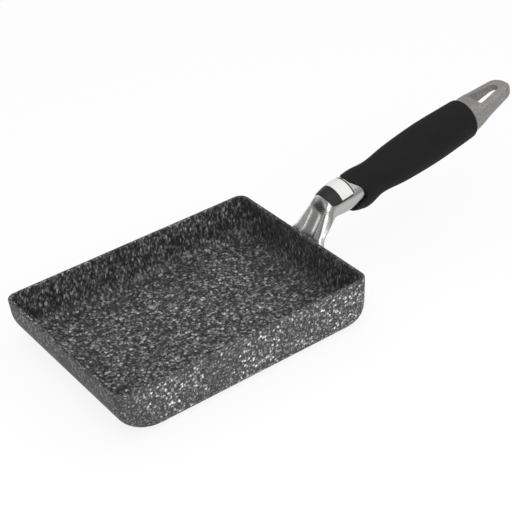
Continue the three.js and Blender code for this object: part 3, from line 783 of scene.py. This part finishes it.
def collar_ring(station):
    half_width, top, under = [size(station) for size in COLLAR_SIZES]
    section = neck_section(half_width, top, under, 0, 0, 1, SCOOP_HALF_WIDTHS[-1][1], 0)
    return [HANDLE_FRAME @ Vector((station, side, COLLAR_LIFT + up)) for side, up in section]


def trim_at_wall(mesh):
    """Cuts the neck's foot off just outside the tray wall."""
    shell = bmesh.new()
    shell.from_mesh(mesh)
    rim_point = Vector((PAN_LENGTH / 2 + WALL_GAP, 0, PAN_HEIGHT))
    outward = Vector((math.cos(HANDLE_DRAFT), 0, -math.sin(HANDLE_DRAFT)))
    cut = bmesh.ops.bisect_plane(shell, geom=shell.verts[:] + shell.edges[:] + shell.faces[:],
                                 plane_co=rim_point, plane_no=outward, clear_inner=True)
    rim_edges = [e for e in cut["geom_cut"] if isinstance(e, bmesh.types.BMEdge)]
    bmesh.ops.edgeloop_fill(shell, edges=rim_edges)
    bmesh.ops.recalc_face_normals(shell, faces=shell.faces[:])
    shell.to_mesh(mesh)
    shell.free()
    return mesh


def ease_bend(rings):
    """Averages the lines along flanks and underside, which rounds the inside of the bend."""
    top_last = len(rings[0]) - UNDER_STEPS
    last = len(rings) - 1
    lines = []
    for index, line in enumerate(zip(*rings)):
        inward = max(min(index, top_last - index), 0)
        share = 1 - smoothstep(inward, 1, FLANK_STEPS + EDGE_STEPS)
        eased = []
        for i, point in enumerate(line):
            span = min(BEND_EASE, i, last - i)
            mean = sum(line[i - span:i + span + 1], Vector((0, 0, 0))) / (2 * span + 1)
            onset = smoothstep(i / NECK_STEPS, BEND_EASE_START, BEND_EASE_FULL)
            eased.append(point.lerp(mean, share * onset))
        lines.append(eased)
    return list(zip(*lines))


def make_neck():
    rings = [neck_ring(step / NECK_STEPS) for step in range(NECK_STEPS)]
    for step in range(COLLAR_STEPS + 1):
        rings.append(collar_ring(lerp(COLLAR_START, COLLAR_END, step / COLLAR_STEPS)))
    mesh = trim_at_wall(ring_mesh(ease_bend(rings)))
    height = PAN_HEIGHT - NECK_SCREW_DROP
    axis = Matrix.Translation((wall_x(height) + NECK_SCREW_REACH, 0, height))
    axis = axis @ Matrix.Rotation(NECK_SCREW_TILT, 4, "Y")
    head_room = rod_mesh(NECK_SCREW_SEAT, NECK_SCREW_SEAT + NECK_SCREW_ROOM,
                         SCREW_HEAD_HOLE_RADIUS, axis)
    mesh = combine(mesh, head_room, "DIFFERENCE")
    return finish_piece("neck_casting", mesh, "neck", [polished_metal()],
                        NECK_CREASE)


# Grip sleeve, from a geometry node tree

class Field:
    """A value in a geometry node tree; sums on it add Math nodes."""

    def __init__(self, tree, socket):
        self.tree = tree
        self.socket = socket

    def math(self, operation, *others):
        values = [other.socket if isinstance(other, Field) else other for other in others]
        return Field(self.tree, Nodes(self.tree).math(operation, self.socket, *values))

    def __add__(self, other):
        return self.math("ADD", other)

    def __sub__(self, other):
        return self.math("SUBTRACT", other)

    def __mul__(self, other):
        return self.math("MULTIPLY", other)

    def __truediv__(self, other):
        return self.math("DIVIDE", other)

    def smooth(self, low, high):
        return Field(self.tree, Nodes(self.tree).ramp(self.socket, low, high, kind="SMOOTHSTEP"))

    def pick(self, low, high):
        """low where this value is 0, high where it is 1."""
        return (high - low) * self + low


def float_curve(tree, value, knots, low, high):
    """Smooth curve through (station, radius) knots, as a Float Curve node."""
    node = tree.nodes.new("ShaderNodeFloatCurve")
    curve = node.mapping.curves[0]
    shape = smooth_curve(knots)
    while len(curve.points) < PROFILE_POINTS:
        curve.points.new(0.5, 0.5)
    for i in range(PROFILE_POINTS):
        share = i / (PROFILE_POINTS - 1)
        curve.points[i].location = (share, shape(lerp(low, high, share)) / PROFILE_FULL_SCALE)
        curve.points[i].handle_type = "AUTO"
    node.mapping.update()
    tree.links.new(value.socket, node.inputs["Value"])
    return Field(tree, node.outputs[0]) * PROFILE_FULL_SCALE


SLEEVE_INPUTS = {
    "Length": GRIP_LENGTH, "Chin Front": CHIN_FRONT, "Brow Front": BROW_FRONT,
    "Tongue": TONGUE_STATION, "Core Bore": CORE_BORE,
    "Collar Half Width": COLLAR_SIZES[0](BROW_FRONT) + COLLAR_GAP,
    "Collar Top": COLLAR_SIZES[1](BROW_FRONT) + COLLAR_GAP,
    "Collar Under": COLLAR_SIZES[2](BROW_FRONT) + COLLAR_GAP, "Collar Lift": COLLAR_LIFT,
    "Collar End": COLLAR_END, "Front Round": FRONT_LIP_ROUND,
    "End Round": GRIP_END_ROUND,
}


def sleeve_tree(material, around=128, rows=150):
    """Node tree of the sleeve: an outer skin and an inner bore over two grids."""
    tree = bpy.data.node_groups.new("sleeve_form", "GeometryNodeTree")
    for name in SLEEVE_INPUTS:
        tree.interface.new_socket(name=name, in_out="INPUT", socket_type="NodeSocketFloat")
    tree.interface.new_socket(name="Geometry", in_out="OUTPUT", socket_type="NodeSocketGeometry")
    entry = tree.nodes.new("NodeGroupInput")
    given = {name: Field(tree, entry.outputs[name]) for name in SLEEVE_INPUTS}

    position = tree.nodes.new("GeometryNodeInputPosition")
    axes = tree.nodes.new("ShaderNodeSeparateXYZ")
    tree.links.new(position.outputs[0], axes.inputs[0])
    turn = (Field(tree, axes.outputs["X"]) + 0.5) * (2 * math.pi)
    share = Field(tree, axes.outputs["Y"]) + 0.5
    sine, cosine = turn.math("SINE"), turn.math("COSINE")

    from_top = sine.math("ARCCOSINE")
    below_brow = from_top.smooth(BROW_ANGLE, TONGUE_UPPER_ANGLE)
    brow = below_brow.pick(given["Brow Front"], given["Tongue"])
    front = from_top.smooth(TONGUE_LOWER_ANGLE, CHIN_ANGLE).pick(brow, given["Chin Front"])

    # Distance from the axis to the lifted oval of the collar, in each direction
    above = sine.math("GREATER_THAN", given["Collar Lift"] / given["Collar Half Width"])
    height = above.pick(given["Collar Under"], given["Collar Top"])
    across, up = cosine / given["Collar Half Width"], sine / height
    lift = given["Collar Lift"] / height
    spread = across * across + up * up
    middle = up * lift
    rest = (lift * lift * -1 + 1) * spread
    collar_bore = (middle + (middle * middle + rest).math("SQRT")) / spread

    # Outer skin: stations crowd together at both round ends
    eased = share.smooth(0, 1)
    station = eased.pick(front, given["Length"])
    along = (station - given["Chin Front"]) / (given["Length"] - given["Chin Front"])
    under = float_curve(tree, along, UNDER_KNOTS, CHIN_FRONT, GRIP_LENGTH)
    over = float_curve(tree, along, OVER_KNOTS, CHIN_FRONT, GRIP_LENGTH)
    radius = ((sine + 1) * 0.5).pick(under, over)

    def edge_inset_field(distance, round_size):
        gap = (distance / round_size).math("MINIMUM", 1) * -1 + 1
        arc = (gap * gap * -1 + 1).math("MAXIMUM", 0).math("SQRT")
        return (arc * -1 + 1) * round_size

    rounded = radius - edge_inset_field(station - front, given["Front Round"])
    rounded = rounded - edge_inset_field(given["Length"] - station, given["End Round"])
    is_first = share.math("LESS_THAN", 0.5 / rows)
    is_last = share.math("GREATER_THAN", 1 - 0.5 / rows)
    outer_radius = is_last.pick(is_first.pick(rounded, collar_bore), given["Core Bore"])

    # Inner bore, in four rows: two round the collar, then two round the core
    past_front = share.math("GREATER_THAN", 1 / 6)
    past_collar = share.math("GREATER_THAN", 1 / 2)
    past_core = share.math("GREATER_THAN", 5 / 6)
    inner_station = past_core.pick(past_front.pick(front, given["Collar End"]), given["Length"])
    inner_radius = past_collar.pick(collar_bore, given["Core Bore"])

    def skin(row_count, at, radius_at):
        grid = tree.nodes.new("GeometryNodeMeshGrid")
        grid.inputs["Vertices X"].default_value = around + 1
        grid.inputs["Vertices Y"].default_value = row_count
        place = tree.nodes.new("ShaderNodeCombineXYZ")
        for name, value in (("X", at), ("Y", radius_at * cosine), ("Z", radius_at * sine)):
            tree.links.new(value.socket, place.inputs[name])
        move = tree.nodes.new("GeometryNodeSetPosition")
        tree.links.new(grid.outputs["Mesh"], move.inputs["Geometry"])
        tree.links.new(place.outputs[0], move.inputs["Position"])
        return move.outputs[0]

    join = tree.nodes.new("GeometryNodeJoinGeometry")
    tree.links.new(skin(rows + 1, station, outer_radius), join.inputs[0])
    tree.links.new(skin(BORE_ROWS, inner_station, inner_radius), join.inputs[0])
    weld = tree.nodes.new("GeometryNodeMergeByDistance")
    weld.inputs["Distance"].default_value = WELD_DISTANCE
    real = tree.nodes.new("GeometryNodeRealizeInstances")
    paint = tree.nodes.new("GeometryNodeSetMaterial")
    paint.inputs["Material"].default_value = material
    leave = tree.nodes.new("NodeGroupOutput")
    chain = [join, weld, real, paint, leave]
    for left, right in zip(chain, chain[1:]):
        tree.links.new(left.outputs[0], right.inputs[0])
    return tree


def make_sleeve():
    rubber = soft_black()
    tree = sleeve_tree(rubber)
    carrier = add_object("sleeve_carrier", bpy.data.meshes.new("sleeve_carrier"))
    step = carrier.modifiers.new("sleeve_form", "NODES")
    step.node_group = tree
    for item in tree.interface.items_tree:
        if item.in_out == "INPUT":
            step[item.identifier] = float(SLEEVE_INPUTS[item.name])
    mesh = applied(carrier)
    bpy.data.objects.remove(carrier)
    face_outwards(mesh)
    mesh.transform(HANDLE_FRAME)
    return finish_piece("grip", mesh, "grip_sleeve", [rubber])


# End cap

def under_line(station):
    return CAP_TOE_UNDER + CAP_UNDER_SLOPE * (station - CAP_TOE)


def cap_ring(station, half_width, over, under, squareness, count):
    middle = (over + under) / 2
    ring = []
    for angle in angles(count):
        side, up = super_point(half_width, (over - under) / 2, squareness, angle)
        ring.append(HANDLE_FRAME @ Vector((station, side, middle + up)))
    return ring


def cap_rings(count=120, steps=60, nose_steps=26):
    half_width = smooth_curve(CAP_KNOTS_HALF_WIDTH)
    over = smooth_curve(CAP_KNOTS_TOP)
    under = smooth_curve(CAP_KNOTS_UNDER)
    rings = []
    for step in range(steps + 1):
        station = lerp(CAP_START, CAP_TOE, step / steps)
        squareness = lerp(2, CAP_SQUARENESS, smoothstep(station, CAP_START, CAP_HEEL))
        rings.append(cap_ring(station, half_width(station), over(station), under(station),
                              squareness, count))
    for step in range(1, nose_steps + 1):
        turn = step / (nose_steps + 0.5) * math.pi / 2
        station = CAP_TOE + CAP_NOSE_LENGTH * math.sin(turn)
        pinch = CAP_NOSE_ROUND * (1 - math.cos(turn))
        rings.append(cap_ring(station, CAP_TOE_HALF_WIDTH * math.cos(turn), CAP_TOP - pinch,
                              under_line(station) + pinch, CAP_SQUARENESS, count))
    return rings


def slot_outline(grow, steps=16):
    """Hanging slot seen from above: (station, sideways) pairs, grown except at its heel."""
    tip = Vector((SLOT_END - SLOT_TIP_RADIUS, 0))
    corner = Vector((SLOT_START + SLOT_CORNER_RADIUS + grow, SLOT_HALF_WIDTH - SLOT_CORNER_RADIUS))
    along = corner - tip
    lean = math.acos((SLOT_TIP_RADIUS - SLOT_CORNER_RADIUS) / along.length)
    side = math.atan2(along.y, along.x) - lean
    arcs = [(tip, SLOT_TIP_RADIUS, -side, side),
            (corner, SLOT_CORNER_RADIUS, side, math.pi),
            (Vector((corner.x, -corner.y)), SLOT_CORNER_RADIUS, math.pi, 2 * math.pi - side)]
    points = []
    for centre, radius, start, end in arcs:
        for step in range(steps + 1):
            angle = lerp(start, end, step / steps)
            points.append((centre.x + (radius + grow) * math.cos(angle),
                           centre.y + (radius + grow) * math.sin(angle)))
    return points


def slot_level(grow, height_at):
    return [HANDLE_FRAME @ Vector((station, side, height_at(station)))
            for station, side in slot_outline(grow)]


def slot_lip(station):
    return lerp(SLOT_LIP_HEEL, SLOT_LIP_TOE, (station - SLOT_START) / (SLOT_END - SLOT_START))


def make_cap():
    mesh = ring_mesh(cap_rings())
    straight = ring_mesh([slot_level(0, lambda s: -CUT_REACH), slot_level(0, lambda s: CUT_REACH)])
    flare = ring_mesh([slot_level(SLOT_FLARE, lambda s: slot_lip(s) - SLOT_FLARE),
                       slot_level(0, slot_lip)])
    head_bore = rod_mesh(TIE_SEAT, SLOT_START + CUT_OVERLAP, SCREW_HEAD_HOLE_RADIUS, HANDLE_FRAME)
    through = rod_mesh(CAP_START - CUT_REACH, TIE_SEAT + CUT_OVERLAP, SCREW_HOLE_RADIUS,
                       HANDLE_FRAME)
    spigot = rod_mesh(CAP_START - SPIGOT_LENGTH, CAP_START + CUT_OVERLAP, SPIGOT_RADIUS,
                      HANDLE_FRAME)
    mesh = combine(mesh, spigot, "UNION")
    for tool in (straight, flare, head_bore, through):
        mesh = combine(mesh, tool, "DIFFERENCE")
    body = add_object("cap_body", mesh)
    remesh = body.modifiers.new("even_skin", "REMESH")
    remesh.mode = "VOXEL"
    remesh.voxel_size = CAP_VOXEL
    soften = body.modifiers.new("soft_edges", "SMOOTH")
    soften.factor = CAP_SOFTEN_FACTOR
    soften.iterations = CAP_SOFTEN_PASSES
    mesh = applied(body)
    bpy.data.objects.remove(body)
    return finish_piece("hanging_cap", mesh, "end_cap", [satin_metal()],
                        CAP_CREASE)


# Label

def label_point(station, angle, lift):
    """Point above the collar, or above the neck's turn just before it."""
    if station >= COLLAR_START:
        side = (COLLAR_SIZES[0](station) + lift) * math.sin(angle)
        up = (COLLAR_SIZES[1](station) + lift) * math.cos(angle)
        return HANDLE_FRAME @ Vector((station, side, COLLAR_LIFT + up))
    # The spine leaves its end at three times its lead per unit of share
    share = 1 - (COLLAR_START - station) / (3 * COLLAR_LEAD)
    point, heading = neck_spine(share)
    side = (NECK_SIZES[0](share) + lift) * math.sin(angle)
    up = (NECK_SIZES[1](share) + lift) * math.cos(angle)
    return Vector((point.x - up * heading.y, side, point.y + up * heading.x))


def make_label(columns=72, rows=60):
    """Thin curved strip with round corners, laid on the collar."""
    length = LABEL_END - LABEL_START
    half_arc = LABEL_HALF_ANGLE * LABEL_RADIUS
    verts, uvs = [], []
    for layer in (0, 1):
        for row in range(rows + 1):
            share = row / rows
            from_edge = min(share, 1 - share) * length
            trim = 0.0
            if from_edge < LABEL_CORNER:
                inset = LABEL_CORNER - from_edge
                trim = LABEL_CORNER - math.sqrt(LABEL_CORNER ** 2 - inset ** 2)
            for column in range(columns + 1):
                across = 2 * column / columns - 1
                angle = (half_arc - trim) * across / LABEL_RADIUS
                verts.append(label_point(LABEL_START + share * length, angle,
                                         LABEL_LIFT + layer * LABEL_THICKNESS))
                uvs.append((share, 0.5 + 0.5 * angle / LABEL_HALF_ANGLE))
    width = columns + 1
    layer_size = (rows + 1) * width
    faces = []
    for row in range(rows):
        for column in range(columns):
            a = row * width + column
            faces.append((a, a + width, a + width + 1, a + 1))
            top = layer_size
            faces.append((top + a, top + a + 1, top + a + width + 1, top + a + width))
    border = [(0, c) for c in range(columns)] + [(r, columns) for r in range(rows)]
    border += [(rows, c) for c in range(columns, 0, -1)] + [(r, 0) for r in range(rows, 0, -1)]
    loop = [row * width + column for row, column in border]
    for a, b in zip(loop, loop[1:] + loop[:1]):
        faces.append((a, b, b + layer_size, a + layer_size))
    mesh = bpy.data.meshes.new("label")
    mesh.from_pydata(verts, [], faces)
    layer = mesh.uv_layers.new(name="strip")
    for loop_corner in mesh.loops:
        layer.data[loop_corner.index].uv = uvs[loop_corner.vertex_index]
    face_outwards(mesh)
    return finish_piece("collar_label", mesh, "label", [label_print()])


# Nodes that keep their own shape

def paint_node(name, material):
    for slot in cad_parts[name].material_slots:
        slot.material = material


def paint_kept_nodes():
    steel = plated_steel()
    for name in ("neck_screw", "neck_washer", "tie_screw", "tie_washer"):
        paint_node(name, steel)
    paint_node("grip_core", hard_black())
    paint_node("handle_lug", bare_aluminium())


# Stage

CAMERA_PLACE = (-0.365505, -0.612354, 0.531144)
CAMERA_RIGHT = (0.800911, -0.596035, -0.057312)
CAMERA_UP = (0.371382, 0.419385, 0.828367)
CAMERA_BACK = (-0.469700, -0.684732, 0.557247)
CAMERA_LENS = 97.49
CAMERA_SENSOR = 36
CAMERA_CLIP_END = 50
FLOOR_HALF = 12.0
FLOOR_LEVEL = -0.0003
FLOOR_SHOWN = 0.85
BACKDROP_LEFT = -0.9
BACKDROP_FAR = 1.9
BACKDROP_HEIGHT = 0.33
BACKDROP_SHOWN = 0.75
MIRRORED_SHARE = 0.3
SKY_HEIGHTS = (0.2, 0.8)
SKY_STRENGTHS = (0.42, 0.2)
LIGHT_TARGET = Vector((0.06, 0, 0.02))

# Lights: name, place, size, power in watts
SOFTBOXES = [
    ("overhead", (0.2, 0.0, 1.25), (2.6, 2.6), 18),
    ("top_strip", (-0.5, -0.6, 1.25), (0.5, 1.5), 6),
    ("front_box", (-0.1, -1.7, 1.0), (2.0, 0.32), 7.6),
    ("back_strip", (-0.3, 1.85, 0.28), (2.4, 0.46), 4.6),
    ("left_strip", (-1.65, -0.74, 0.66), (0.3, 0.35), 1.2),
]


def make_camera():
    data = bpy.data.cameras.new("camera")
    data.lens = CAMERA_LENS
    data.sensor_width = CAMERA_SENSOR
    data.sensor_fit = "HORIZONTAL"
    data.clip_end = CAMERA_CLIP_END
    camera = bpy.data.objects.new("camera", data)
    turn = Matrix((CAMERA_RIGHT, CAMERA_UP, CAMERA_BACK)).transposed().to_4x4()
    camera.matrix_world = Matrix.Translation(CAMERA_PLACE) @ turn
    bpy.context.scene.collection.objects.link(camera)
    bpy.context.scene.camera = camera


def make_softbox(name, place, size, power):
    data = bpy.data.lights.new(name, "AREA")
    data.shape = "RECTANGLE"
    data.size, data.size_y = size
    data.energy = power
    light = bpy.data.objects.new(name, data)
    place = Vector(place)
    light.matrix_world = Matrix.Translation(place) @ (
        (place - LIGHT_TARGET).to_track_quat("Z", "Y").to_matrix().to_4x4())
    bpy.context.scene.collection.objects.link(light)


def paper_white(name, shown):
    """Matt white; cameras, and mirrors less so, see part of it as plain white of strength 1."""
    paper = bpy.data.materials.new(name)
    paper.use_nodes = True
    n = Nodes(paper.node_tree)
    paper.node_tree.nodes.clear()
    matt = n.add("ShaderNodeBsdfDiffuse", {"Color": grey(0.95)})
    glow = n.add("ShaderNodeEmission", {"Color": grey(1), "Strength": 1.0})
    path = n.add("ShaderNodeLightPath").outputs
    seen = n.math("MAXIMUM", path["Is Camera Ray"], path["Is Transmission Ray"])
    seen = n.math("MULTIPLY", seen, shown)
    mirrored = n.math("MULTIPLY", path["Is Glossy Ray"], shown * MIRRORED_SHARE)
    blend = n.add("ShaderNodeMixShader", {0: n.math("MAXIMUM", seen, mirrored)})
    n.put(blend.inputs[1], matt.outputs[0])
    n.put(blend.inputs[2], glow.outputs[0])
    output = n.add("ShaderNodeOutputMaterial")
    n.put(output.inputs["Surface"], blend.outputs[0])
    return paper


def make_sheet(name, corners, material):
    mesh = bpy.data.meshes.new(name)
    mesh.from_pydata(corners, [], [(0, 1, 2, 3)])
    mesh.materials.append(material)
    add_object(name, mesh)


def make_floor():
    half, low = FLOOR_HALF, FLOOR_LEVEL
    left, far, high = BACKDROP_LEFT, BACKDROP_FAR, BACKDROP_HEIGHT
    ground = [(-half, -half, low), (half, -half, low), (half, half, low), (-half, half, low)]
    wall = [(left, far, low), (half, far, low), (half, far, high), (left, far, high)]
    make_sheet("floor", ground, paper_white("floor_paper", FLOOR_SHOWN))
    make_sheet("backdrop", wall, paper_white("backdrop_paper", BACKDROP_SHOWN))


def make_world():
    world = bpy.data.worlds.new("studio")
    world.use_nodes = True
    n = Nodes(world.node_tree)
    shade = world.node_tree.nodes["Background"]
    n.put(shade.inputs["Color"], grey(1))
    way = n.add("ShaderNodeTexCoord").outputs["Generated"]
    height = n.add("ShaderNodeSeparateXYZ", {"Vector": way}).outputs["Z"]
    n.put(shade.inputs["Strength"], n.ramp(height, *SKY_HEIGHTS, *SKY_STRENGTHS))
    bpy.context.scene.world = world


def make_stage():
    make_camera()
    make_floor()
    make_world()
    for softbox in SOFTBOXES:
        make_softbox(*softbox)
    bpy.context.scene.view_settings.view_transform = "Standard"


make_stage()
make_tray()
make_neck()
make_sleeve()
make_cap()
make_label()
paint_kept_nodes()
